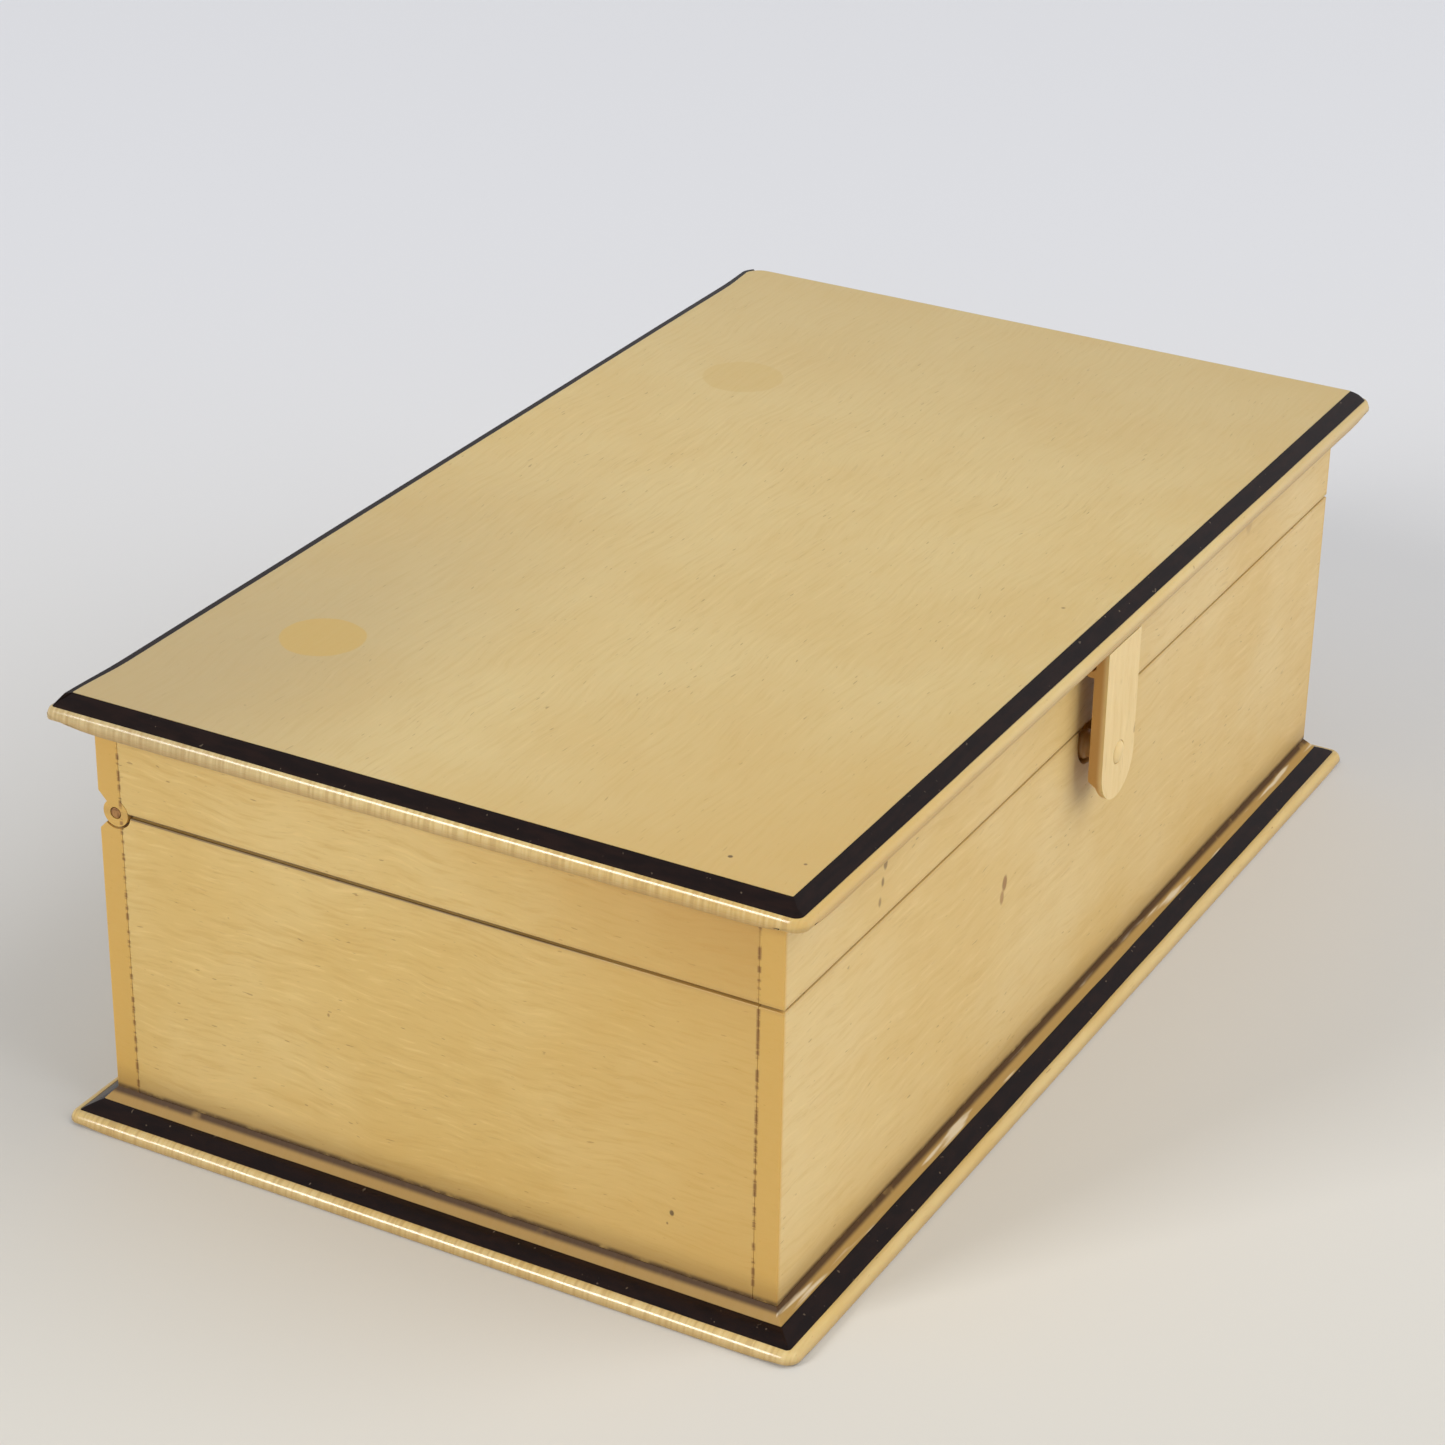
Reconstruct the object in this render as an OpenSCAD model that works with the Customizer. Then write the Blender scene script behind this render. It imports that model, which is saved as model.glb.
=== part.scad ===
// Needle case: a small bone box with dark horn stringing, a carved knuckle hinge and a tongue latch.
// Millimetres, +Z up, the latch faces -Y. The origin is at the centre of the underside.

/* [Case] */
// Length across the outside of the walls
case_l = 83; // [70:1:100]
// Width across the outside of the walls
case_w = 47; // [42:1:60]
// Height from the table to the top of the lid
case_h = 30; // [29.5:0.25:32]
// Height of the seam between body and lid, which is also the height of the hinge axis
seam_z = 22; // [21.9:0.05:22.2]
// Thickness of the wall panels
wall_t = 1.6; // [1.5:0.05:1.8]
// Width of the seam
seam_gap = 0.2; // [0.15:0.05:0.3]

/* [Plates] */
// Thickness of the base plate
base_t = 2.2; // [2:0.1:2.6]
// Thickness of the lid plate
lid_t = 1.8; // [1.7:0.1:2.2]
// Distance that the base plate stands out from the walls
base_reach = 2.4; // [2.3:0.05:2.8]
// Distance that the lid plate stands out from the walls
lid_reach = 2.1; // [2.05:0.05:2.3]
// Corner radius of the base plate
base_corner_r = 1.1; // [0.6:0.1:1.5]
// Corner radius of the lid plate
lid_corner_r = 0.6; // [0.4:0.1:1]
// Depth of the horn stringing below the bevel
string_depth = 0.5; // [0.4:0.05:0.6]

/* [Hinge] */
// Radius of the carved knuckles
knuckle_r = 0.9; // [0.85:0.05:0.95]
// Distance from the back face to the hinge axis
hinge_inset = 1.2; // [1.15:0.05:1.25]
// Number of knuckles, an odd number so that the lid has both end ones
knuckle_count = 7; // [5:2:11]
// Radius of the hinge pin
hinge_pin_r = 0.35; // [0.3:0.05:0.4]
// Half of the opening angle that the chamfers beside the hinge leave
chamfer_angle = 47; // [46:0.5:50]

/* [Latch] */
// Width of the tongue
tongue_w = 5; // [4.2:0.1:5.4]
// Height of the tongue's rounded tip above the table
tongue_tip_z = 17; // [16.5:0.1:17.3]
// Distance from the front wall to the tongue's front face
tongue_reach = 2; // [1.95:0.05:2.05]
// Thickness of the tongue
tongue_t = 0.95; // [0.9:0.01:0.98]
// Height of the catch peg above the table
peg_z = 20.2; // [20.1:0.05:20.4]
// Radius of the catch peg's shank
peg_r = 0.8; // [0.7:0.05:0.85]
// Half width of the arched recess that the catch peg drops into
recess_r = 1.9; // [1.8:0.05:2]

/* [Inside] */
// Thickness of a packet divider
divider_t = 0.8; // [0.6:0.1:1]
// Height of the packet dividers above the floor
divider_h = 13; // [10:0.5:16]

/* [Hidden] */
$fn = 64;
bone = [0.85, 0.73, 0.50];
bone_warm = [0.80, 0.62, 0.33];
horn = [0.13, 0.09, 0.09];
pin_brown = [0.45, 0.30, 0.16];

// Case
half_l = case_l / 2;
half_w = case_w / 2;
inner_l = case_l - 2 * wall_t;
inner_w = case_w - 2 * wall_t;
lid_under_z = case_h - lid_t;
body_top_z = seam_z - seam_gap / 2;
lid_low_z = seam_z + seam_gap / 2;
past = 5;

// Plate edges, as points [reach from the wall, height above the plate's underside]
base_string = [[0.65, base_t - 0.75], [1.8, base_t - 1.35]];
lid_string = [[0.8, lid_t], [1.75, lid_t - 0.75]];
base_foot_r = 0.15;
lid_foot_r = 0.3;

// Hinge
hinge_y = half_w - hinge_inset;
knuckle_gap = 0.12;
knuckle_pitch = (case_l + knuckle_gap) / knuckle_count;
knuckle_len = knuckle_pitch - knuckle_gap;
socket_r = knuckle_r + 0.17;
press_gap = 0.01;
running_gap = 0.05;

// Latch: its pin stands in front of the wall, under the overhang
pin_reach = 0.85;
latch_y = -half_w - pin_reach;
latch_z = lid_under_z - 1.2;
latch_pin_r = 0.25;
latch_pin_l = 4;
eye_r = 0.75;
eye_space = 1.8;
lug_r = 0.62;
lug_w = 1.6;
lug_web_h = 0.7;
lug_tenon = 0.8;
lug_gap = 0.12;
tongue_top_z = lid_under_z - 0.1;
tongue_back = tongue_reach - tongue_t;
tongue_swing_r = norm([tongue_reach - pin_reach, tongue_top_z - latch_z]) + 0.1;
lip_z = tongue_tip_z + 1.5;
lip_t = 0.25;
peg_button_r = 1;
peg_inner = -0.7;
peg_dome = 0.2;
recess_depth = 1.1;
recess_low_z = 19;

// ---- shared shapes --------------------------------------------------------------------------

// Points of an arc round a centre
function arc(centre, r, from, to, steps = 6) =
  [for (i = [0:steps]) let (a = from + (to - from) * i / steps) centre + r * [cos(a), sin(a)]];

// Moulded edge of the base: foot, quarter-round nose, then the bevel up to the wall
function base_edge() =
  let (nose = base_reach - base_string[1][0], low = base_string[1][1] - nose)
  concat(
    arc([base_reach - base_foot_r, base_foot_r], base_foot_r, -90, -10, 3),
    arc([base_string[1][0], max(low, 0.05)], nose, 10, 90),
    [base_string[0], [0, base_t]]
  );

// Moulded edge of the lid: rounded underside, upright nose, then the stringing up to the flat top
function lid_edge() =
  let (nose = lid_reach - lid_string[1][0])
  concat(
    arc([lid_reach - lid_foot_r, lid_foot_r], lid_foot_r, -90, 0),
    arc([lid_string[1][0], lid_string[1][1] - nose], nose, 0, 90),
    [lid_string[0]]
  );

// Section of a string sunk square into the bevel between two points
function string_section(bevel) =
  let (along = (bevel[1] - bevel[0]) / norm(bevel[1] - bevel[0]), inward = [along[1], -along[0]])
  [bevel[0], bevel[1], bevel[1] + inward * string_depth, bevel[0] + inward * string_depth];

// Extrudes a section of [reach, height] points along X, where reach 0 is the wall at -half_across
module along_side(points, half_across, length) {
  rotate([90, 0, 90]) translate([0, 0, -length / 2])
    linear_extrude(length) polygon([for (p = points) [-half_across - p[0], p[1]]]);
}

// Extrudes a plate's whole section, moulded on both edges, along X
module along_plate(edge, half_across, length) {
  front = [for (p = edge) [-half_across - p[0], p[1]]];
  back = [for (i = [len(edge) - 1:-1:0]) [half_across + edge[i][0], edge[i][1]]];
  rotate([90, 0, 90]) translate([0, 0, -length / 2]) linear_extrude(length) polygon(concat(front, back));
}

// A vertical block with rounded corners, from z = 0
module round_block(l, w, r, h) {
  translate([-l / 2 + r, -w / 2, 0]) cube([l - 2 * r, w, h]);
  translate([-l / 2, -w / 2 + r, 0]) cube([l, w - 2 * r, h]);
  for (x = [-1, 1], y = [-1, 1])
    translate([x * (l / 2 - r), y * (w / 2 - r), 0]) cylinder(r = r, h = h);
}

// A plate whose moulded edge runs all round with mitred corners
module moulded_plate(edge, reach, corner_r, t) {
  intersection() {
    along_plate(edge, half_w, case_l + 2 * reach + past);
    rotate([0, 0, 90]) along_plate(edge, half_l, case_w + 2 * reach + past);
    translate([0, 0, -1]) round_block(case_l + 2 * reach, case_w + 2 * reach, corner_r, t + 2);
  }
}

// One mitred string: side 0 is the front, 1 the right, 2 the back and 3 the left
module mitred_string(bevel, side) {
  along = side % 2 == 0 ? half_l : half_w;
  across = side % 2 == 0 ? half_w : half_l;
  inner = 2;
  outer = 4;
  rotate([0, 0, 90 * side]) intersection() {
    along_side(string_section(bevel), across, 2 * (along + outer));
    linear_extrude(base_t + lid_t) polygon([
      [-along + inner, -across + inner], [along - inner, -across + inner],
      [along + outer, -across - outer], [-along - outer, -across - outer]
    ]);
  }
}

// A cylinder along X round the hinge axis
module hinge_round(r, x, length) {
  translate([x, hinge_y, seam_z]) rotate([0, 90, 0]) cylinder(r = r, h = length);
}

// Knuckles whose index is even (lid) or odd (body), each longer by extra at both ends
module knuckles(first, r, extra = 0) {
  for (i = [first:2:knuckle_count - 1])
    hinge_round(r, -half_l + i * knuckle_pitch - extra, knuckle_len + 2 * extra);
}

// The V-groove beside the hinge, on the body's side; the lid's is its mirror image
module hinge_chamfer() {
  translate([0, hinge_y, seam_z]) rotate([90, 0, 90]) translate([0, 0, -half_l - 1])
    linear_extrude(case_l + 2) polygon([
      [0, 0], [past * cos(chamfer_angle), -past * sin(chamfer_angle)], [past, past], [0, past]
    ]);
}

// A wall panel between two heights
module panel(x, y, l, w, low, high) {
  translate([x, y, low]) cube([l, w, high - low]);
}

// A cylinder along X round the latch axis
module latch_round(r, length) {
  translate([-length / 2, latch_y, latch_z]) rotate([0, 90, 0]) cylinder(r = r, h = length);
}

// A cylinder along Y at the peg, from an inner to an outer reach
module peg_round(r, inner, outer) {
  translate([0, -half_w - inner, peg_z]) rotate([90, 0, 0]) cylinder(r = r, h = outer - inner);
}

// ---- body -----------------------------------------------------------------------------------

module base_plate() {
  color(bone) difference() {
    moulded_plate(base_edge(), base_reach, base_corner_r, base_t);
    for (side = [0:3]) mitred_string(base_string, side);
  }
}

module base_string_side(side) {
  color(horn) mitred_string(base_string, side);
}

// The front panel, with the arched recess that is open at the seam
module body_front_panel() {
  color(bone) difference() {
    panel(-half_l, -half_w, case_l, wall_t, base_t, body_top_z);
    translate([0, -half_w + recess_depth, recess_low_z + recess_r]) rotate([90, 0, 0])
      cylinder(r = recess_r, h = recess_depth + 1);
    translate([-recess_r, -half_w - 1, recess_low_z + recess_r])
      cube([2 * recess_r, recess_depth + 1, past]);
  }
}

// The back panel, whose top edge carries the odd knuckles
module body_back_panel() {
  color(bone) difference() {
    union() {
      difference() {
        panel(-half_l, half_w - wall_t, case_l, wall_t, base_t, body_top_z);
        hinge_chamfer();
        knuckles(0, socket_r, knuckle_gap);
      }
      knuckles(1, knuckle_r);
    }
    hinge_round(hinge_pin_r + press_gap, -half_l - 1, case_l + 2);
  }
}

// An end panel: it butts between the front and back panels; end is -1 left or 1 right
module body_end_panel(end) {
  x = end < 0 ? -half_l : half_l - wall_t;
  color(bone) difference() {
    panel(x, -inner_w / 2, wall_t, inner_w, base_t, body_top_z);
    hinge_round(socket_r, -half_l - 1, case_l + 2);
  }
}

module body_left_panel() {
  body_end_panel(-1);
}

module body_right_panel() {
  body_end_panel(1);
}

module hinge_pin() {
  color(pin_brown) hinge_round(hinge_pin_r, -half_l, case_l);
}

// A thin divider across the inside, with a shallow finger scoop in its top edge
module packet_divider(index) {
  scoop_r = 14;
  scoop_drop = 4;
  x = -inner_l / 2 + index * inner_l / 4 - divider_t / 2;
  top = base_t + divider_h;
  color(bone) difference() {
    panel(x, -inner_w / 2, divider_t, inner_w, base_t, top);
    translate([x - 1, 0, top + scoop_r - scoop_drop]) rotate([0, 90, 0])
      cylinder(r = scoop_r, h = divider_t + 2);
  }
}

// ---- lid ------------------------------------------------------------------------------------

// The lid plate, with a shallow hollow under its front overhang where the latch's top end turns
module lid_plate() {
  color(bone) difference() {
    translate([0, 0, lid_under_z]) moulded_plate(lid_edge(), lid_reach, lid_corner_r, lid_t);
    for (side = [0:3]) translate([0, 0, lid_under_z]) mitred_string(lid_string, side);
    latch_round(tongue_swing_r, tongue_w + 0.4);
  }
}

module lid_string_side(side) {
  color(horn) translate([0, 0, lid_under_z]) mitred_string(lid_string, side);
}

// The front panel, with a mortise for the latch's lug
module lid_front_panel() {
  color(bone) difference() {
    panel(-half_l, -half_w, case_l, wall_t, lid_low_z, lid_under_z);
    translate([-lug_w / 2, -half_w - 1, latch_z - lug_web_h / 2]) cube([lug_w, lug_tenon + 1, lug_web_h]);
  }
}

// The back panel, whose lower edge carries the even knuckles
module lid_back_panel() {
  color(bone) difference() {
    union() {
      difference() {
        panel(-half_l, half_w - wall_t, case_l, wall_t, lid_low_z, lid_under_z);
        translate([0, 0, 2 * seam_z]) mirror([0, 0, 1]) hinge_chamfer();
        knuckles(1, socket_r, knuckle_gap);
      }
      knuckles(0, knuckle_r);
    }
    hinge_round(hinge_pin_r + running_gap, -half_l - 1, case_l + 2);
  }
}

module lid_end_panel(end) {
  x = end < 0 ? -half_l : half_l - wall_t;
  color(bone) difference() {
    panel(x, -inner_w / 2, wall_t, inner_w, lid_low_z, lid_under_z);
    hinge_round(knuckle_r, -half_l - 1, case_l + 2);
  }
}

module lid_left_panel() {
  lid_end_panel(-1);
}

module lid_right_panel() {
  lid_end_panel(1);
}

// ---- latch ----------------------------------------------------------------------------------

// The lug stands in the front panel's mortise and holds the latch pin
module latch_lug() {
  color(bone) difference() {
    union() {
      latch_round(lug_r, lug_w);
      translate([-lug_w / 2, latch_y, latch_z - lug_web_h / 2])
        cube([lug_w, pin_reach + lug_tenon, lug_web_h]);
    }
    latch_round(latch_pin_r + press_gap, lug_w + 2);
  }
}

module latch_pin() {
  color(pin_brown) latch_round(latch_pin_r, latch_pin_l);
}

// Side profile of the tongue: upright front face, tapered finger lip below, chamfered top
function tongue_profile() = [
  [tongue_reach, tongue_tip_z], [tongue_reach, tongue_top_z],
  [tongue_reach - 0.45, tongue_top_z], [tongue_back, latch_z + 0.4],
  [tongue_back, lip_z + 0.4], [tongue_back + 0.45, lip_z], [tongue_reach - lip_t, tongue_tip_z]
];

// Front outline of the tongue: a strip with a half-round lower end
module tongue_outline() {
  translate([0, tongue_tip_z + tongue_w / 2]) {
    circle(d = tongue_w);
    translate([-tongue_w / 2, 0]) square([tongue_w, tongue_top_z]);
  }
}

module latch_tongue() {
  color(bone_warm) difference() {
    union() {
      intersection() {
        along_side(tongue_profile(), half_w, tongue_w + 2);
        translate([0, -half_w, 0]) rotate([90, 0, 0]) linear_extrude(past) tongue_outline();
      }
      latch_round(eye_r, tongue_w);
      translate([-tongue_w / 2, latch_y - 0.4, latch_z - eye_r]) cube([tongue_w, 0.4, eye_r + 0.3]);
    }
    // space for the lug between the two eyes
    latch_round(lug_r + lug_gap, eye_space);
    translate([-eye_space / 2, latch_y, latch_z - past / 2]) cube([eye_space, past, past]);
    latch_round(latch_pin_r + running_gap, tongue_w + 2);
    peg_round(peg_r + press_gap, 0, tongue_reach + 1);
  }
}

// The catch peg: a button in the recess, a shank through the tongue and a low domed head
module latch_peg() {
  dome_r = (pow(peg_r, 2) + pow(peg_dome, 2)) / (2 * peg_dome);
  dome_angle = asin(peg_r / dome_r);
  head = arc([0, tongue_reach + peg_dome - dome_r], dome_r, 90 - dome_angle, 90);
  color(bone_warm) translate([0, -half_w, peg_z]) rotate([90, 0, 0]) rotate_extrude()
    polygon(concat(
      [[0, peg_inner], [peg_r, peg_inner], [peg_button_r, peg_inner + 0.2], [peg_button_r, -0.2], [peg_r, 0]],
      head
    ));
}

base_plate();
base_string_side(0);  // base_string_front
base_string_side(1);  // base_string_right
base_string_side(2);  // base_string_back
base_string_side(3);  // base_string_left
body_front_panel();
body_back_panel();
body_left_panel();
body_right_panel();
hinge_pin();
packet_divider(1);  // packet_divider_1
packet_divider(2);  // packet_divider_2
packet_divider(3);  // packet_divider_3
lid_plate();
lid_string_side(0);  // lid_string_front
lid_string_side(1);  // lid_string_right
lid_string_side(2);  // lid_string_back
lid_string_side(3);  // lid_string_left
lid_front_panel();
lid_back_panel();
lid_left_panel();
lid_right_panel();
latch_lug();
latch_pin();
latch_tongue();
latch_peg();
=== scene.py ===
import math

import bmesh
import bpy
from mathutils import Matrix, Vector, noise


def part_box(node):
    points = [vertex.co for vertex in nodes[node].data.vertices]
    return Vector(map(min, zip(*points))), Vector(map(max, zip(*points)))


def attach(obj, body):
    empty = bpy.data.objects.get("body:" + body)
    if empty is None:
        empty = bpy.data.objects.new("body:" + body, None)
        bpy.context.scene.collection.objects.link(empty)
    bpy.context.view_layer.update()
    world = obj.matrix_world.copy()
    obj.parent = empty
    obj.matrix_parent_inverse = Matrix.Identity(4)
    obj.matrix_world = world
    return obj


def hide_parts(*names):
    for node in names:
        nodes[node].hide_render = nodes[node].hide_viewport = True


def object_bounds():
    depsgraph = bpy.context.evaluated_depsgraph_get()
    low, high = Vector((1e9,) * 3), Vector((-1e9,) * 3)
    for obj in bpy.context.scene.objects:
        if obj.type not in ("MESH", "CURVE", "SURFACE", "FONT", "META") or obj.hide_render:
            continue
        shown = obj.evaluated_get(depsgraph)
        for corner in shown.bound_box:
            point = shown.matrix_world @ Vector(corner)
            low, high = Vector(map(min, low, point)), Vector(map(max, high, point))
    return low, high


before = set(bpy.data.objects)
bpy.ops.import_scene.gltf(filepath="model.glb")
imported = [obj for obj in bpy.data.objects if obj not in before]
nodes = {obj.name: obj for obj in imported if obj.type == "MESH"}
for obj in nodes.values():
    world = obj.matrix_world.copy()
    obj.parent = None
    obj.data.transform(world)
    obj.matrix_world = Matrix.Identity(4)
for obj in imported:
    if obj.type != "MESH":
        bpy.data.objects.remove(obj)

cad_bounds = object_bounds()
MM = 0.001

# ---- measures from the frame, in metres -----------------------------------------------------

HALF_L = -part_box("body_left_panel")[0].x
HALF_W = -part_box("body_front_panel")[0].y
WALL_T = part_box("body_front_panel")[1].y + HALF_W
BASE_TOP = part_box("base_plate")[1].z
LID_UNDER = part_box("lid_plate")[0].z
SEAM_Z = (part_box("body_right_panel")[1].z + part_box("lid_right_panel")[0].z) / 2
BASE_REACH = -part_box("base_plate")[0].x - HALF_L
LID_REACH = -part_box("lid_plate")[0].x - HALF_L
TONGUE_LOW, TONGUE_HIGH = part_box("latch_tongue")

# ---- camera ---------------------------------------------------------------------------------

CAMERA_AZIMUTH = -61.4
CAMERA_ELEVATION = 27.0
CAMERA_ROLL = 0.885
CAMERA_DISTANCE = 257.0 * MM
CAMERA_LENS_MM = 95.23
AIM_OFFSET = Vector((-1.11, 2.68, 0.49)) * MM


def add_camera():
    """The camera looks down its own -Z at a point close to the middle of the case."""
    azimuth, elevation = math.radians(CAMERA_AZIMUTH), math.radians(CAMERA_ELEVATION)
    back = Vector((
        math.sin(azimuth) * math.cos(elevation),
        -math.cos(azimuth) * math.cos(elevation),
        math.sin(elevation),
    ))
    right = Vector((0, 0, 1)).cross(back).normalized()
    up = back.cross(right)
    turn = Matrix((right, up, back)).transposed() @ Matrix.Rotation(math.radians(CAMERA_ROLL), 3, "Z")
    data = bpy.data.cameras.new("camera")
    data.sensor_width = 36
    data.lens = CAMERA_LENS_MM
    data.clip_start, data.clip_end = 0.01, 20
    camera = bpy.data.objects.new("camera", data)
    aim = (cad_bounds[0] + cad_bounds[1]) / 2 + AIM_OFFSET
    camera.matrix_world = Matrix.Translation(aim + back * CAMERA_DISTANCE) @ turn.to_4x4()
    bpy.context.scene.collection.objects.link(camera)
    bpy.context.scene.camera = camera


# ---- shader building ------------------------------------------------------------------------


def srgb(red, green, blue):
    """Linear RGBA of a colour given as 0-255 display values."""
    values = []
    for value in (red, green, blue):
        v = value / 255
        values.append(v / 12.92 if v <= 0.04045 else ((v + 0.055) / 1.055) ** 2.4)
    return (*values, 1.0)


class Shader:
    """A material and short calls for the nodes that this scene uses. Lengths are in millimetres."""

    def __init__(self, name):
        self.material = bpy.data.materials.new(name)
        self.material.use_nodes = True
        self.tree = self.material.node_tree
        self.tree.nodes.clear()
        self.surface = self.node("BsdfPrincipled")
        output = self.node("OutputMaterial")
        self.link(self.surface.outputs[0], output.inputs["Surface"])
        place = self.node("TexCoord").outputs["Object"]
        self.place = self.vector_math("SCALE", place, scale=1 / MM)
        parts = self.node("SeparateXYZ", Vector=self.place).outputs
        self.x, self.y, self.z = parts[0], parts[1], parts[2]

    def link(self, source, target):
        self.tree.links.new(source, target)

    def feed(self, socket, value):
        if isinstance(value, bpy.types.NodeSocket):
            self.link(value, socket)
        else:
            socket.default_value = value

    def node(self, kind, settings=(), **inputs):
        made = self.tree.nodes.new("ShaderNode" + kind)
        for key, value in dict(settings).items():
            setattr(made, key, value)
        for key, value in inputs.items():
            self.feed(made.inputs[key.replace("_", " ")], value)
        return made

    def set(self, **inputs):
        """Sets or links sockets of the surface shader."""
        for key, value in inputs.items():
            self.feed(self.surface.inputs[key.replace("_", " ")], value)

    def math(self, operation, a, b=0.0):
        made = self.node("Math", {"operation": operation})
        self.feed(made.inputs[0], a)
        self.feed(made.inputs[1], b)
        return made.outputs[0]

    def vector_math(self, operation, a, b=(0, 0, 0), scale=None):
        made = self.node("VectorMath", {"operation": operation})
        self.feed(made.inputs[0], a)
        if scale is None:
            self.feed(made.inputs[1], b)
        else:
            made.inputs["Scale"].default_value = scale
        return made.outputs["Value" if operation == "DISTANCE" else "Vector"]

    def noise(self, place, scale=1.0, detail=2.0, roughness=0.5):
        made = self.node("TexNoise", Vector=place, Scale=scale, Detail=detail, Roughness=roughness)
        return made.outputs["Fac"]

    def steps(self, value, low, high):
        """0 at low, 1 at high and smooth between, with low above high for a falling step."""
        rising = low < high
        made = self.node("MapRange", {"interpolation_type": "SMOOTHSTEP"})
        ends = (low, high, 0.0, 1.0) if rising else (high, low, 1.0, 0.0)
        self.feed(made.inputs["Value"], value)
        for key, end in zip(("From Min", "From Max", "To Min", "To Max"), ends):
            made.inputs[key].default_value = end
        return made.outputs["Result"]

    def times(self, *values):
        result = values[0]
        for value in values[1:]:
            result = self.math("MULTIPLY", result, value)
        return result

    def mix(self, factor, a, b, blend="MIX"):
        made = self.node("Mix", {"data_type": "RGBA", "blend_type": blend})
        self.feed(made.inputs[0], factor)
        self.feed(made.inputs[6], a)
        self.feed(made.inputs[7], b)
        return made.outputs[2]

    def reach(self):
        """Distance outward from the wall faces, negative over the case."""
        along = self.math("SUBTRACT", self.math("ABSOLUTE", self.x), HALF_L / MM)
        across = self.math("SUBTRACT", self.math("ABSOLUTE", self.y), HALF_W / MM)
        return self.math("MAXIMUM", along, across)


# ---- materials ------------------------------------------------------------------------------

CREAM = srgb(213, 188, 130)
HONEY = srgb(208, 178, 113)
AMBER = srgb(196, 153, 72)
GRIME_AND_SHADE = srgb(62, 35, 11)
RUST = srgb(116, 70, 28)
TAN = srgb(160, 126, 74)
OLIVE_SHADE = srgb(134, 102, 52)
PORE = srgb(128, 92, 48)
LEDGE_SHADE_AND_DIRT = srgb(160, 124, 62)
GLUE = srgb(226, 212, 184)
PALE_FIBRE = srgb(230, 208, 158)
END_GRAIN_GOLD = srgb(202, 158, 70)
LID_FRONT_GOLD = srgb(186, 142, 70)
CORNER_GOLD = srgb(204, 166, 92)
BACK_GREY = srgb(182, 160, 116)
FAR_TAN = srgb(192, 168, 118)
TONGUE_AMBER = srgb(186, 128, 48)


def bone(name, pale, warm, grain, marks=(), wear_and_shade=None, polish=None, roughness=0.40, contrast=0.30,
         mark_shape=(1.0, 1.0, 1.0)):
    """Polished bone. grain says how many streaks a millimetre holds along X, Y and Z, and contrast
    how strongly they show.

    marks are (centre, radius, edge, strength, colour) spots in millimetres, narrower along an axis
    whose mark_shape is above 1 and longer where it is below. The wear and polish arguments are functions
    of the shader: the first returns a list of (mask, colour) pairs for wear, dirt and painted light and
    shade, and polish a mask of where the surface is smoother and glossier.
    """
    shader = Shader(name)
    bend = shader.node("TexNoise", Vector=shader.place, Scale=0.11, Detail=2.0).outputs["Color"]
    bend = shader.vector_math("SCALE", shader.vector_math("SUBTRACT", bend, (0.5, 0.5, 0.5)), scale=2.2)
    bent = shader.vector_math("ADD", shader.place, bend)
    streaks = shader.noise(shader.vector_math("MULTIPLY", bent, grain), 1.0, 3.0, 0.62)
    fine_grain = tuple(value * 2.3 for value in grain)
    hairs = shader.noise(shader.vector_math("MULTIPLY", bent, fine_grain), 1.0, 2.0, 0.5)
    clouds = shader.noise(shader.place, 0.065, 3.0, 0.55)
    patches = shader.noise(shader.place, 0.35, 2.0, 0.5)

    colour = shader.mix(shader.steps(clouds, 0.36, 0.66), pale, warm)
    deeper = tuple(channel * shade for channel, shade in zip(warm[:3], (0.86, 0.80, 0.68)))
    colour = shader.mix(shader.times(shader.steps(streaks, 0.48, 0.70), contrast), colour, (*deeper, 1))
    lighter = tuple(min(channel * 1.13, 0.95) for channel in pale[:3])
    colour = shader.mix(shader.times(shader.steps(streaks, 0.46, 0.28), contrast), colour, (*lighter, 1))
    hair_mask = shader.times(shader.steps(hairs, 0.60, 0.74), shader.steps(patches, 0.42, 0.6), 0.25)
    colour = shader.mix(hair_mask, colour, TAN)
    pore_place = shader.vector_math("MULTIPLY", bent, tuple(value * 0.75 + 0.35 for value in grain))
    pores = shader.steps(shader.noise(pore_place, 2.4, 0.0), 0.80, 0.86)
    colour = shader.mix(shader.times(pores, 0.50), colour, PORE)

    # wear, dirt and painted light and shade
    for mask, tint in wear_and_shade(shader) if wear_and_shade else ():
        colour = shader.mix(mask, colour, tint)
    shaped = shader.vector_math("MULTIPLY", shader.place, mark_shape)
    for centre, radius, edge, strength, tint in marks:
        shaped_centre = tuple(value * scale for value, scale in zip(centre, mark_shape))
        away = shader.vector_math("DISTANCE", shaped, shaped_centre)
        uneven = shader.math("ADD", away, shader.math("MULTIPLY", patches, edge))
        inside = shader.steps(uneven, radius + edge * 0.5, radius)
        colour = shader.mix(shader.times(inside, strength), colour, tint)

    relief = shader.math("ADD", streaks, shader.times(hairs, 0.5))
    gloss = shader.math("ADD", shader.times(streaks, 0.16), roughness - 0.08)
    depth = 0.16
    if polish:
        smooth = polish(shader)
        depth = shader.math("SUBTRACT", depth, shader.times(smooth, 0.10))
        gloss = shader.math("SUBTRACT", gloss, shader.times(smooth, 0.20))
    bump = shader.node("Bump", Height=relief, Strength=depth, Distance=0.06 * MM)
    coarse = shader.node("Bump", Height=patches, Strength=0.10, Distance=0.3 * MM, Normal=bump.outputs[0])
    shader.set(Base_Color=colour, Roughness=gloss, Normal=coarse.outputs[0], IOR=1.54)
    shader.set(Subsurface_Weight=0.12, Subsurface_Radius=(1.0, 0.55, 0.25), Subsurface_Scale=0.7 * MM)
    return shader.material


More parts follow.
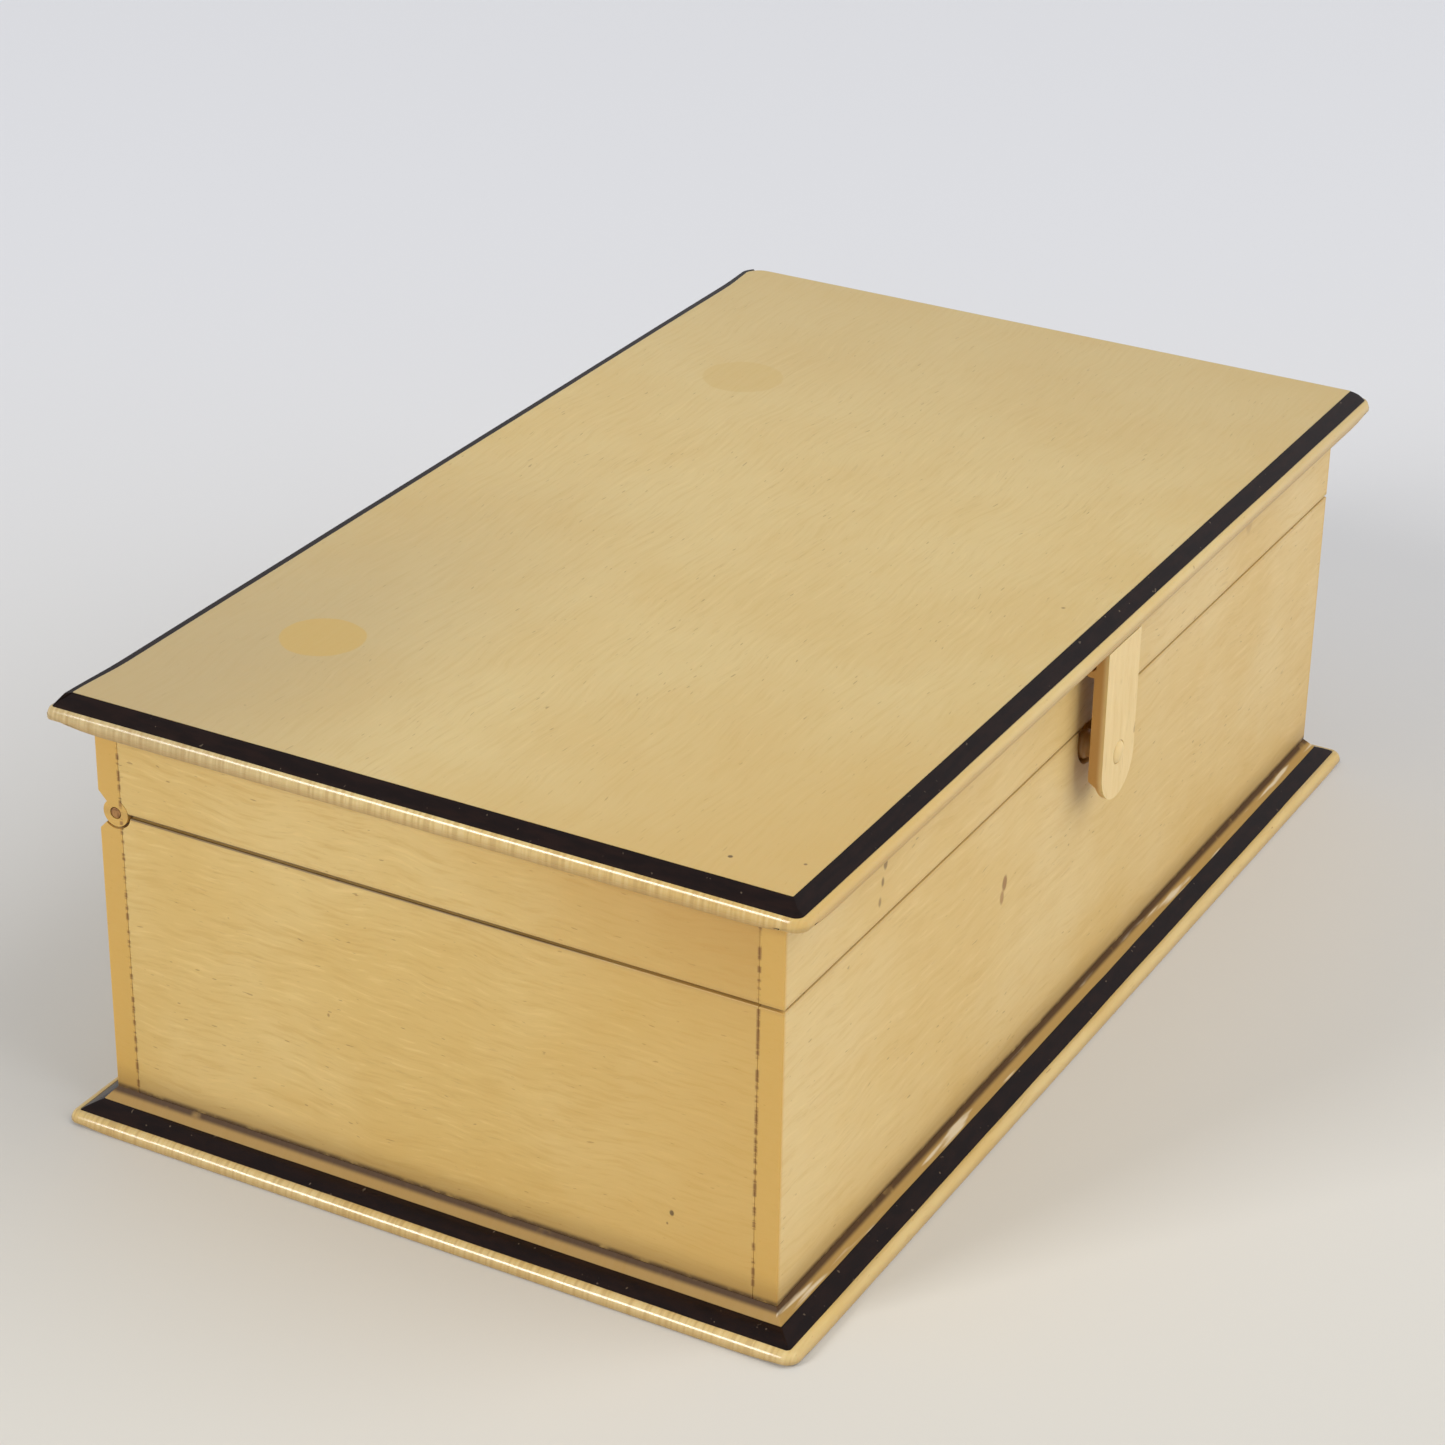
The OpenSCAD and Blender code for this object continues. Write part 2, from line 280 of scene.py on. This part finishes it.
def joint_line(shader):
    """Broken brown lines where an end panel meets the front and back panels."""
    off_joint = shader.math("ABSOLUTE", shader.math("SUBTRACT", shader.math("ABSOLUTE", shader.y),
                                                    (HALF_W - WALL_T) / MM))
    outside = shader.math("GREATER_THAN", shader.math("ABSOLUTE", shader.x), HALF_L / MM - 0.2)
    broken = shader.noise(shader.vector_math("MULTIPLY", shader.place, (0.3, 0.3, 1.9)), 1.3, 3.0, 0.6)
    return shader.times(shader.steps(off_joint, 0.17, 0.06), shader.steps(broken, 0.44, 0.60), outside, 0.70)


def foot_dirt_and_shade(shader):
    """Dirt along the foot of a wall; above it painted shade, partly dirt too, and a painted warm glow of
    light bounced up from the base; and a tan edge at the seam.
    """
    uneven = shader.noise(shader.place, 0.7, 3.0, 0.6)
    height = shader.math("SUBTRACT", shader.z, BASE_TOP / MM)
    foot = shader.times(shader.steps(height, 0.45, 0.08), shader.steps(uneven, 0.20, 0.50), 0.85)
    # painted shade low on the wall where it meets the base, partly dirt too
    shade = shader.times(shader.steps(height, 2.2, 0.0), 0.50)
    # painted warm light bounced up from the base onto the lowest part of the wall
    glow = shader.times(shader.steps(height, 7.0, 0.0), 0.25)
    off_seam = shader.math("ABSOLUTE", shader.math("SUBTRACT", shader.z, SEAM_Z / MM))
    seam = shader.times(shader.steps(off_seam, 0.45, 0.10), 0.25)
    return [(glow, AMBER), (shade, OLIVE_SHADE), (seam, TAN), (foot, GRIME_AND_SHADE)]


def seam_gap_shade(shader):
    """Painted shade: a dark line beside the seam that stands in for the shade in its gap, widest at the hinge
    and fading towards the front.
    """
    off_seam = shader.math("ABSOLUTE", shader.math("SUBTRACT", shader.z, SEAM_Z / MM))
    behind = shader.steps(shader.y, -HALF_W / MM, HALF_W / MM)
    edge = shader.math("SUBTRACT", off_seam, shader.times(behind, 0.06))
    outside = shader.math("GREATER_THAN", shader.math("ABSOLUTE", shader.x), HALF_L / MM - 0.15)
    return shader.times(shader.steps(edge, 0.15, 0.11), shader.steps(behind, 0.02, 0.3), outside, 0.70)


def end_wall_wear_and_shade(shader):
    """Dirt in the joints, painted shade along the seam, dirt with painted light and shade at the foot, and a
    deeper colour towards the front.
    """
    uneven = shader.noise(shader.place, 0.12, 2.0)
    forward = shader.steps(shader.math("ADD", shader.y, shader.times(uneven, 8.0)), 6.0, -HALF_W / MM + 2.0)
    high = shader.times(shader.steps(shader.z, 18.0, 27.0), forward, 0.60)
    return [(shader.times(forward, 0.62), AMBER), (high, LID_FRONT_GOLD), *foot_dirt_and_shade(shader),
            (joint_line(shader), RUST), (seam_gap_shade(shader), GRIME_AND_SHADE)]


def long_wall_wear_and_shade(shader):
    """Dirt with painted light and shade at the foot as on the end walls, dirt in the joints, and a warmer
    tone on the panel's own end grain.
    """
    own_end = shader.steps(shader.math("ABSOLUTE", shader.x), HALF_L / MM - 0.35, HALF_L / MM)
    return [(shader.times(own_end, 0.8), END_GRAIN_GOLD), *foot_dirt_and_shade(shader), (joint_line(shader), RUST)]


def amber_sides(shader):
    """The tongue is darker and amber towards the wall, where light comes through its edges."""
    off_face = shader.math("ADD", shader.y, -TONGUE_LOW.y / MM)
    return [(shader.times(shader.steps(off_face, 0.10, 0.45), 0.75), TONGUE_AMBER)]


def nose(shader):
    """1 on the rounded outer edges of the plates and 0 over the walls."""
    return shader.steps(shader.reach(), 1.4, 1.8)


def ledge_mask(shader):
    """1 on the base's ledge between the walls and the strings, and 0 inside the case."""
    reach = shader.reach()
    outside = shader.math("GREATER_THAN", reach, -0.1)
    over = shader.math("GREATER_THAN", shader.z, 1.2)
    return shader.times(shader.steps(reach, 0.95, 0.60), outside, over)


def lid_polish(shader):
    """Handling has polished the lid's noses, but not their lower edges."""
    return shader.times(nose(shader), shader.steps(shader.z, LID_UNDER / MM + 0.2, LID_UNDER / MM + 0.5))


def base_polish(shader):
    """Handling has polished the noses, and the dirt on the ledge is dull."""
    return shader.math("SUBTRACT", nose(shader), shader.times(ledge_mask(shader), 1.7))


def end_grain(shader):
    """Fine upright lines across a plate's two end noses, where its lengthwise fibres are cut."""
    past_end = shader.steps(shader.math("ABSOLUTE", shader.x), HALF_L / MM + 1.2, HALF_L / MM + 1.8)
    lines = shader.noise(shader.vector_math("MULTIPLY", shader.place, (0.2, 4.2, 0.25)), 1.0, 1.0, 0.6)
    pale_lines = shader.times(shader.steps(lines, 0.50, 0.36), past_end, 0.28)
    return [(shader.times(shader.steps(lines, 0.52, 0.64), past_end, 0.32), TAN),
            (pale_lines, PALE_FIBRE)]


def under_shade(shader, floor_z):
    """The lower part of a plate's nose is browner than its top."""
    height = shader.math("SUBTRACT", shader.z, floor_z / MM)
    return shader.times(shader.steps(height, 0.75, 0.15), nose(shader), 0.60)


def base_wear_and_shade(shader):
    """The base's ledge is tan with dirt and painted shade, with a dark line of dirt against the walls and
    pale glue streaks, and its noses have painted shade on their lower part.
    """
    reach = shader.reach()
    uneven = shader.noise(shader.place, 0.45, 3.0, 0.6)
    ledge = ledge_mask(shader)
    line = shader.times(shader.steps(reach, 0.36, 0.14), shader.steps(uneven, 0.15, 0.40), ledge, 0.92)
    smears = shader.noise(shader.vector_math("MULTIPLY", shader.place, (0.14, 2.4, 1.0)), 1.0, 2.0, 0.5)
    front = shader.math("LESS_THAN", shader.y, -HALF_W / MM)
    glue = shader.times(shader.steps(smears, 0.56, 0.64), shader.steps(reach, 0.10, 0.30), ledge, front, 0.6)
    # the ledge's tan is dirt and painted shade; the noses' lower part gets painted shade
    return [(shader.times(ledge, 0.90), LEDGE_SHADE_AND_DIRT), (line, GRIME_AND_SHADE), (glue, GLUE), *end_grain(shader),
            (under_shade(shader, 0.0), TAN)]


def lid_wear_and_shade(shader):
    """The top is yellower by its strings and the near corner, greyer at the back left and tan far off, and
    its noses have painted shade on their lower part.
    """
    reach = shader.reach()
    cloud = shader.noise(shader.place, 0.16, 3.0, 0.6)
    rim = shader.times(shader.steps(reach, -6.0, 1.0), shader.steps(cloud, 0.35, 0.65), 0.55)
    near = shader.times(shader.steps(shader.x, -12.0, -40.0), shader.steps(shader.y, 2.0, -22.0), 0.6)
    back = shader.times(shader.steps(shader.x, 10.0, -35.0), shader.steps(shader.y, 0.0, 20.0), 0.75)
    far = shader.times(shader.steps(shader.x, 5.0, 44.0), 0.5)
    return [(rim, HONEY), (near, CORNER_GOLD), (back, BACK_GREY), (far, FAR_TAN), *end_grain(shader),
            (under_shade(shader, LID_UNDER), TAN)]


def horn(name):
    """Polished black horn, brown where it thins, with faint lengthwise polish marks."""
    shader = Shader(name)
    streaks = shader.noise(shader.vector_math("MULTIPLY", shader.place, (0.5, 0.5, 4.0)), 1.0, 3.0, 0.6)
    dull = shader.noise(shader.place, 0.9, 3.0, 0.6)
    colour = shader.mix(shader.steps(streaks, 0.35, 0.7), srgb(14, 9, 9), srgb(27, 16, 13))
    flecks = shader.steps(shader.noise(shader.place, 2.6, 1.0), 0.74, 0.80)
    colour = shader.mix(shader.times(flecks, 0.5), colour, srgb(120, 105, 88))
    bump = shader.node("Bump", Height=dull, Strength=0.12, Distance=0.12 * MM)
    gloss = shader.math("ADD", shader.times(dull, 0.22), 0.10)
    shader.set(Base_Color=colour, Roughness=gloss, Normal=bump.outputs[0], IOR=1.36)
    shader.set(Specular_Tint=srgb(255, 222, 214))
    return shader.material


def wire(name):
    """Dull brown wire for the pins."""
    shader = Shader(name)
    tarnish = shader.noise(shader.place, 3.0, 3.0, 0.6)
    colour = shader.mix(shader.steps(tarnish, 0.35, 0.65), srgb(172, 126, 74), srgb(122, 82, 44))
    bump = shader.node("Bump", Height=tarnish, Strength=0.3, Distance=0.03 * MM)
    gloss = shader.math("ADD", shader.times(tarnish, 0.3), 0.35)
    shader.set(Base_Color=colour, Roughness=gloss, Normal=bump.outputs[0], Metallic=0.35)
    return shader.material


# ---- moulded plates and their strings --------------------------------------------------------

CORNER_STEPS = 8
SIDE_PITCH = 1.0 * MM
# A string's rebate, how far its top bulges out of the bevel, the gap round it and how far it sinks in
STRING_DEPTH = 0.5 * MM
STRING_CROWN = 0.035 * MM
STRING_GAP = 0.02 * MM
STRING_SINK = 0.015 * MM
CROWN_STEPS = 6
# How far the lid's back string is level on top, and how far it reaches further into the lid
BACK_STRING_FLAT = 0.35 * MM
BACK_STRING_SET_IN = 0.3 * MM
# Where a plate's flat faces start inside the walls, and how far its underside stays flat past them
FLAT_START = -3 * MM
FLAT_REACH = 0.3 * MM
# Over what length a corner's wear and an edge's wandering fade out, and how long the latter's waves are
LIFT_LENGTH = 4 * MM
DRIFT_FADE = 5 * MM
SLOW_WAVE = 11 * MM
QUICK_WAVE = 2.6 * MM
# A plate's edge in millimetres: the bevel's upper and lower end as (reach, height above the plate's
# underside), the foot's radius, the nose's half-axes out and up, and how far the foot is worn up at
# the corners
BASE_EDGE = {"upper": (0.65, 1.45), "lower": (1.8, 0.85), "foot": 0.15, "nose": (0.52, 0.62), "lift": 0.25}
LID_EDGE = {"upper": (0.8, 1.8), "lower": (1.75, 1.05), "foot": 0.2, "nose": (0.34, 0.72), "lift": 0.45}
# Outer corner radii in the order near left, near right, back right, back left
BASE_CORNERS = [0.9 * MM, 0.9 * MM, 1.1 * MM, 0.8 * MM]
LID_CORNERS = [0.9 * MM, 0.9 * MM, 2.6 * MM, 0.6 * MM]


def fade(x, half_along):
    """1 along most of a side, and smoothly down to 0 at its ends."""
    inward = min(1.0, max(0.0, (half_along - abs(x)) / DRIFT_FADE))
    return inward * inward * (3 - 2 * inward)


def drift(seed, amount):
    """How far a handmade edge wanders out of line: a function of the place along a side."""

    def offset(side, x, half_along):
        slow = noise.noise(Vector((x / SLOW_WAVE, side * 5.3, seed)))
        quick = noise.noise(Vector((x / QUICK_WAVE, side * 5.3, seed + 40)))
        return amount * (slow + 0.3 * quick) * fade(x, half_along)

    return offset


def set_in(first, chosen_side, amount):
    """A drift that also moves the edge on one side inward, except at its corners."""

    def offset(side, x, half_along):
        extra = amount * fade(x, half_along) if side == chosen_side else 0.0
        return first(side, x, half_along) - extra

    return offset


def blend(first, last, share):
    """A drift between two others."""
    return lambda *place: (1 - share) * first(*place) + share * last(*place)


def side_line(side, reach, height, radii, offset, lift=0.0):
    """Points along one side of a ring round the walls, between the middles of its two corners.

    lift raises the ring at its corners and fades out along the sides.
    """
    halves = (HALF_L, HALF_W) if side % 2 == 0 else (HALF_W, HALF_L)
    half_along, half_across = halves[0] + reach, halves[1] + reach
    first, last = radii[side], radii[(side + 1) % 4]
    steps = CORNER_STEPS // 2
    points = []
    for step in range(steps):
        angle = math.radians(225 + 45 * step / steps)
        x, y = first * (1 + math.cos(angle)), first * (1 + math.sin(angle))
        points.append((x - half_along, y - half_across))
    count = round(2 * halves[0] / SIDE_PITCH)
    for step in range(count + 1):
        x = first - half_along + (2 * half_along - first - last) * step / count
        points.append((x, -half_across - offset(side, x, half_along)))
    for step in range(1, steps + 1):
        angle = math.radians(270 + 45 * step / steps)
        points.append((half_along - last * (1 - math.cos(angle)), last * (1 + math.sin(angle)) - half_across))
    turn = Matrix.Rotation(math.radians(90 * side), 3, "Z")
    places = []
    for x, y in points:
        inward = min(1.0, max(0.0, (half_along - abs(x)) / LIFT_LENGTH))
        places.append(turn @ Vector((x, y, height + lift * (1 - inward) ** 2)))
    return places


def corner_radii(corners, reach, outer_reach):
    """The corner radii of a ring that lies further in than the outermost one."""
    smallest = 0.06 * MM
    return [max(radius - (outer_reach - reach), smallest) for radius in corners]


def bevel_frame(edge):
    """The bevel's upper and lower end in metres and its direction down and into the plate."""
    upper, lower = (Vector(edge[end]) * MM for end in ("upper", "lower"))
    along = (lower - upper).normalized()
    return upper, lower, along, Vector((along.y, -along.x))


def arc(centre, across, up, start, end, steps):
    """Points of an oval's arc in [reach, height] with half-axes across and up, angles in degrees."""
    turns = [math.radians(start + (end - start) * step / steps) for step in range(steps + 1)]
    return [centre + Vector((across * math.cos(turn), up * math.sin(turn))) for turn in turns]


def finish_piece(shape, name, body, material, sharp=35):
    """Makes an object of a bmesh: smooth shading with sharp creases, a material and a body to ride."""
    bmesh.ops.recalc_face_normals(shape, faces=shape.faces)
    mesh = bpy.data.meshes.new(name)
    shape.to_mesh(mesh)
    shape.free()
    mesh.shade_smooth()
    mesh.set_sharp_from_angle(angle=math.radians(sharp))
    mesh.materials.append(material)
    piece = bpy.data.objects.new(name, mesh)
    bpy.context.scene.collection.objects.link(piece)
    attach(piece, body)
    return piece


def plate_piece(name, body, edge, floor_z, corners, reach, drifts, material):
    """A plate whose moulded edge runs all round, with a rebate in its bevel for the strings."""
    still = drift(0, 0.0)
    inner, outer, nose_drift = drifts
    upper, lower, _, inward = bevel_frame(edge)
    foot = edge["foot"] * MM
    nose_out, nose_up = (value * MM for value in edge["nose"])
    sink = inward * STRING_DEPTH
    top_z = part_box(name)[1].z - floor_z
    lift = edge["lift"] * MM
    outline = [(Vector((FLAT_START, 0)), still, 0.0), (Vector((FLAT_REACH, 0)), still, 0.0)]
    foot_arc = arc(Vector((reach - foot, foot)), foot, foot, -90, 0, 4)
    nose_arc = arc(Vector((reach - nose_out, lower.y - nose_up)), nose_out, nose_up, 0, 90, 12)
    outline += [(point, nose_drift, lift) for point in foot_arc]
    outline += [(point, nose_drift, 0.0) for point in nose_arc]
    outline += [(lower, outer, 0.0), (lower + sink, outer, 0.0)]
    outline += [(upper + sink, inner, 0.0), (upper, inner, 0.0)]
    if upper.y < top_z - 0.1 * MM:
        outline += [(Vector((0.0, top_z)), still, 0.0)]
    outline += [(Vector((FLAT_START, top_z)), still, 0.0)]
    shape = bmesh.new()
    rings = []
    for point, offset, raised in outline:
        radii = corner_radii(corners, point.x, reach)
        ring = []
        for side in range(4):
            ring += side_line(side, point.x, point.y + floor_z, radii, offset, raised)[:-1]
        rings.append([shape.verts.new(place) for place in ring])
    for low, high in zip(rings, rings[1:]):
        for index in range(len(low)):
            following = (index + 1) % len(low)
            shape.faces.new((low[index], low[following], high[following], high[index]))
    shape.faces.new(list(reversed(rings[0])))
    shape.faces.new(rings[-1])
    piece = finish_piece(shape, name + "_moulded", body, material)
    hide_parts(name)
    return piece


def string_section(edge, flat):
    """A string's cross-section as (point, share of the bevel's width), slightly crowned.

    flat is how far the string's top runs level before it turns down along the bevel.
    """
    upper, lower, along, inward = bevel_frame(edge)
    width = (lower - upper).length
    root = inward * (STRING_DEPTH - STRING_GAP)
    section = [(upper + root + along * STRING_GAP, 0.0)]
    if flat:
        turn = upper + Vector((flat, -STRING_SINK))
        share = flat / (lower.x - upper.x)
        section += [(upper + Vector((STRING_GAP, -STRING_SINK)), 0.0), (turn, share)]
        section += [(turn.lerp(lower, 0.2), share), (turn.lerp(lower, 0.97), 1.0)]
    else:
        for step in range(CROWN_STEPS + 1):
            share = step / CROWN_STEPS
            inset = STRING_GAP + (width - 2 * STRING_GAP) * share
            rise = STRING_CROWN * (1 - (2 * share - 1) ** 4) - STRING_SINK
            section.append((upper + along * inset - inward * rise, share))
    section.append((lower + root - along * STRING_GAP, 1.0))
    return section


def string_pieces(prefix, body, edge, floor_z, corners, reach, drifts, material, back_flat=0.0):
    """Four mitred horn strings, slightly crowned and with rounded edges, in the bevel's rebate."""
    inner, outer, _ = drifts
    for side, word in enumerate(("front", "right", "back", "left")):
        section = string_section(edge, back_flat if word == "back" else 0.0)
        shape = bmesh.new()
        lines = []
        for point, share in section:
            radii = corner_radii(corners, point.x, reach)
            places = side_line(side, point.x, point.y + floor_z, radii, blend(inner, outer, share))
            lines.append([shape.verts.new(place) for place in places])
        for index, line in enumerate(lines):
            following = lines[(index + 1) % len(lines)]
            for step in range(len(line) - 1):
                shape.faces.new((line[step], line[step + 1], following[step + 1], following[step]))
        shape.faces.new([line[0] for line in lines])
        shape.faces.new([line[-1] for line in reversed(lines)])
        piece = finish_piece(shape, f"{prefix}_{word}_inlay", body, material, 40)
        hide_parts(f"{prefix}_{word}")


def hollow_under(piece, radius, half_width):
    """Cuts the hollow under the lid's overhang where the top of the latch turns."""
    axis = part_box("latch_pin")
    shape = bmesh.new()
    spin = Matrix.Rotation(math.radians(90), 4, "Y")
    place = Matrix.Translation((axis[0] + axis[1]) / 2) @ spin
    bmesh.ops.create_cone(shape, cap_ends=True, segments=96, radius1=radius, radius2=radius,
                          depth=2 * half_width, matrix=place)
    mesh = bpy.data.meshes.new("hollow_cutter")
    shape.to_mesh(mesh)
    shape.free()
    cutter = bpy.data.objects.new("hollow_cutter", mesh)
    bpy.context.scene.collection.objects.link(cutter)
    cut = piece.modifiers.new("latch_hollow", "BOOLEAN")
    cut.operation = "DIFFERENCE"
    cut.solver = "EXACT"
    cut.object = cutter
    bpy.context.view_layer.update()
    evaluated = piece.evaluated_get(bpy.context.evaluated_depsgraph_get())
    result = bpy.data.meshes.new_from_object(evaluated)
    piece.modifiers.clear()
    result.name = piece.data.name
    piece.data = result
    bpy.data.objects.remove(cutter)


# ---- CAD nodes ------------------------------------------------------------------------------

# Streaks a millimetre along X, Y and Z in a plate whose fibres run lengthwise
ALONG_X = (0.24, 3.3, 0.5)
LEFT_FACE = -HALF_L / MM
FRONT_FACE = -HALF_W / MM
LID_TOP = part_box("lid_plate")[1].z / MM
# Spots and patches as (centre, radius, edge, strength, colour), in millimetres
WALL_MARKS = [
    ((-12.3, FRONT_FACE, 16.0), 0.42, 0.4, 0.85, srgb(140, 96, 48)),
    ((-12.6, FRONT_FACE, 15.1), 0.40, 0.4, 0.75, srgb(150, 106, 56)),
    ((-29.3, FRONT_FACE, 25.6), 0.28, 0.3, 0.8, srgb(120, 92, 50)),
    ((-29.6, FRONT_FACE, 24.5), 0.22, 0.3, 0.8, srgb(120, 92, 50)),
    ((-29.9, FRONT_FACE, 23.3), 0.22, 0.3, 0.7, srgb(130, 100, 56)),
    ((26.0, FRONT_FACE, 25.9), 0.70, 0.5, 0.5, srgb(178, 142, 88)),
    ((LEFT_FACE, -16.5, 6.3), 0.20, 0.2, 0.8, srgb(66, 42, 20)),
    ((LEFT_FACE, -16.2, 5.5), 0.10, 0.1, 0.6, srgb(90, 60, 30)),
    ((LEFT_FACE, 7.2, 12.4), 0.14, 0.2, 0.6, srgb(130, 92, 50)),
]
LID_MARKS = [
    ((-28.5, 15.8, LID_TOP), 2.75, 0.25, 0.80, srgb(201, 167, 92)),
    ((22.3, 14.2, LID_TOP), 3.0, 0.4, 0.60, srgb(202, 172, 106)),
    ((-40.1, -19.2, LID_TOP), 0.20, 0.15, 0.8, srgb(70, 46, 24)),
    ((-38.8, -23.2, LID_TOP), 0.14, 0.15, 0.7, srgb(96, 66, 34)),
    ((-1.4, -21.7, LID_TOP), 0.16, 0.2, 0.6, srgb(120, 88, 48)),
    ((-38.5, 14.5, LID_TOP), 0.12, 0.2, 0.5, srgb(120, 88, 48)),
]
EDGE_ROUND = 0.06 * MM
LATCH_ROUND = 0.12 * MM
PIN_ROUND = 0.05 * MM
HOLLOW_ROOM = 0.15 * MM
HOLLOW_SIDE_ROOM = 0.2 * MM


def soften(node, width):
    """Joins a CAD node's split vertices and flat triangles, rounds its edges and shades it smooth."""
    weld = node.modifiers.new("weld", "WELD")
    weld.merge_threshold = 0.002 * MM
    flat = node.modifiers.new("join_flat_faces", "DECIMATE")
    flat.decimate_type = "DISSOLVE"
    flat.angle_limit = math.radians(1)
    bevel = node.modifiers.new("round_edges", "BEVEL")
    bevel.width = width
    bevel.segments = 3
    bevel.limit_method = "ANGLE"
    bevel.angle_limit = math.radians(28)
    bevel.use_clamp_overlap = True
    node.modifiers.new("even_normals", "WEIGHTED_NORMAL").weight = 60
    node.data.shade_smooth()


def dress(names, material, width=EDGE_ROUND):
    """Gives CAD nodes a material and softens them."""
    for name in names:
        node = nodes[name]
        node.data.materials.clear()
        node.data.materials.append(material)
        soften(node, width)


base_drifts = (drift(3, 0.055 * MM), drift(7, 0.055 * MM), drift(11, 0.0))
# The lid's back string reaches further into the lid, and its top is level before it turns down
lid_drifts = (set_in(drift(17, 0.03 * MM), 2, BACK_STRING_SET_IN), drift(23, 0.03 * MM), drift(29, 0.0))
black_horn = horn("horn_black")
base_bone = bone("bone_base", CREAM, HONEY, ALONG_X, wear_and_shade=base_wear_and_shade, polish=base_polish)
plate_piece("base_plate", "case_body", BASE_EDGE, 0.0, BASE_CORNERS, BASE_REACH, base_drifts, base_bone)
string_pieces("base_string", "case_body", BASE_EDGE, 0.0, BASE_CORNERS, BASE_REACH, base_drifts, black_horn)
lid_bone = bone("bone_lid", CREAM, srgb(210, 182, 121), ALONG_X, LID_MARKS, lid_wear_and_shade, lid_polish,
                mark_shape=(1.0, 1.0, 4.0))
lid = plate_piece("lid_plate", "lid", LID_EDGE, LID_UNDER, LID_CORNERS, LID_REACH, lid_drifts, lid_bone)
latch_axis = (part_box("latch_pin")[0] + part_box("latch_pin")[1]) / 2
tongue_swing = math.dist((TONGUE_LOW.y, TONGUE_HIGH.z), (latch_axis.y, latch_axis.z))
hollow_under(lid, tongue_swing + HOLLOW_ROOM, TONGUE_HIGH.x + HOLLOW_SIDE_ROOM)
string_pieces("lid_string", "lid", LID_EDGE, LID_UNDER, LID_CORNERS, LID_REACH, lid_drifts, black_horn,
              back_flat=BACK_STRING_FLAT)

end_wall = bone("bone_end_walls", srgb(214, 185, 121), srgb(208, 175, 105), (1.0, 0.34, 3.6), WALL_MARKS,
                end_wall_wear_and_shade, contrast=0.46, mark_shape=(1.0, 1.0, 0.75))
long_wall = bone("bone_long_walls", srgb(214, 187, 130), srgb(209, 178, 114), (0.3, 1.0, 2.8), WALL_MARKS,
                 long_wall_wear_and_shade, mark_shape=(1.0, 1.0, 0.6))
dress(["body_left_panel", "body_right_panel", "lid_left_panel", "lid_right_panel"], end_wall)
dress(["body_front_panel", "body_back_panel", "lid_front_panel", "lid_back_panel"], long_wall)
dress(["packet_divider_1", "packet_divider_2", "packet_divider_3"],
      bone("bone_inner", CREAM, HONEY, (1.0, 0.25, 1.8), roughness=0.5))
tongue_bone = bone("bone_tongue", srgb(230, 204, 150), srgb(224, 196, 138), (2.0, 1.0, 0.3),
                   wear_and_shade=amber_sides)
dress(["latch_tongue", "latch_peg", "latch_lug"], tongue_bone, LATCH_ROUND)
dress(["hinge_pin", "latch_pin"], wire("pin_wire"), PIN_ROUND)

# ---- floor and light ------------------------------------------------------------------------

FLOOR_RADIUS = 8.0
FLOOR_FADE_WAY = (0.878, 0.478)
FLOOR_FADE_MM = (-140.0, 160.0)
ROOM_LIGHT = 0.50
ROOM_LOOK = 0.74


def add_floor():
    """A pale seamless floor, cool far behind the case and warmer in front of it."""
    mesh = bpy.data.meshes.new("floor")
    shape = bmesh.new()
    bmesh.ops.create_circle(shape, cap_ends=True, radius=FLOOR_RADIUS, segments=64)
    shape.to_mesh(mesh)
    shape.free()
    floor = bpy.data.objects.new("floor", mesh)
    bpy.context.scene.collection.objects.link(floor)
    shader = Shader("floor_paper")
    along_x, along_y = (shader.times(*pair) for pair in zip((shader.x, shader.y), FLOOR_FADE_WAY))
    away = shader.math("ADD", along_x, along_y)
    colour = shader.mix(shader.steps(away, *FLOOR_FADE_MM), srgb(214, 211, 202), srgb(220, 221, 225))
    paper = shader.noise(shader.place, 1.2, 3.0)
    bump = shader.node("Bump", Height=paper, Strength=0.05, Distance=0.1 * MM)
    shader.set(Base_Color=colour, Roughness=0.75, Normal=bump.outputs[0])
    mesh.materials.append(shader.material)


def add_light(name, azimuth, elevation, distance, size, power, colour, mirrored=True):
    """A square softbox that points at the middle of the case, and shows in glossy faces if mirrored."""
    a, e = math.radians(azimuth), math.radians(elevation)
    way = Vector((math.sin(a) * math.cos(e), -math.cos(a) * math.cos(e), math.sin(e)))
    data = bpy.data.lights.new(name, "AREA")
    data.shape = "SQUARE"
    data.size = size
    data.energy = power
    data.color = colour
    light = bpy.data.objects.new(name, data)
    light.location = way * distance
    light.rotation_mode = "QUATERNION"
    light.rotation_quaternion = way.to_track_quat("Z", "Y")
    light.visible_glossy = mirrored
    bpy.context.scene.collection.objects.link(light)


def add_world():
    """A dim cool room, whose walls look as pale as the floor."""
    world = bpy.data.worlds.new("studio")
    world.use_nodes = True
    tree = world.node_tree
    background = tree.nodes["Background"]
    background.inputs["Color"].default_value = (0.94, 0.96, 1.0, 1)
    seen = tree.nodes.new("ShaderNodeLightPath").outputs["Is Camera Ray"]
    strength = tree.nodes.new("ShaderNodeMapRange")
    strength.inputs["To Min"].default_value = ROOM_LIGHT
    strength.inputs["To Max"].default_value = ROOM_LOOK
    tree.links.new(seen, strength.inputs["Value"])
    tree.links.new(strength.outputs["Result"], background.inputs["Strength"])
    bpy.context.scene.world = world


add_camera()
add_floor()
add_world()
add_light("key", -118, 27, 2.0, 0.55, 20.0, (1.0, 0.98, 0.95))
add_light("fill", 15, 36, 2.0, 2.2, 34.0, (1.0, 0.98, 0.95), mirrored=False)
bpy.context.scene.view_settings.view_transform = "Standard"
